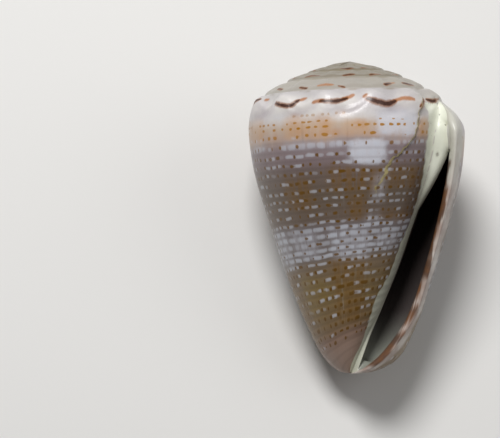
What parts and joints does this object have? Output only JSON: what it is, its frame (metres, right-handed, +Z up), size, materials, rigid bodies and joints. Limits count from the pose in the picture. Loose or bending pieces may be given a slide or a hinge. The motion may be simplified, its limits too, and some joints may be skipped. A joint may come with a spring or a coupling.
{
  "type": "cone shell",
  "caption": "Crowned cone sea shell lying on its back: low knobbly spire, tapering side, long narrow mouth and thin outer lip facing up.",
  "frame": {"origin": "on the floor under the middle of the shell's box, as it lies on its back", "axes": "+Z up, +Y along the shell towards its spire, whose axis is tipped up about 15 degrees, and +X towards the outer lip's side"},
  "size_m": [0.0206, 0.0296, 0.02],
  "materials": {
    "shell": "gloss"
  },
  "bodies": {
    "root": {"cone_shell": "shell"}
  },
  "joints": []
}
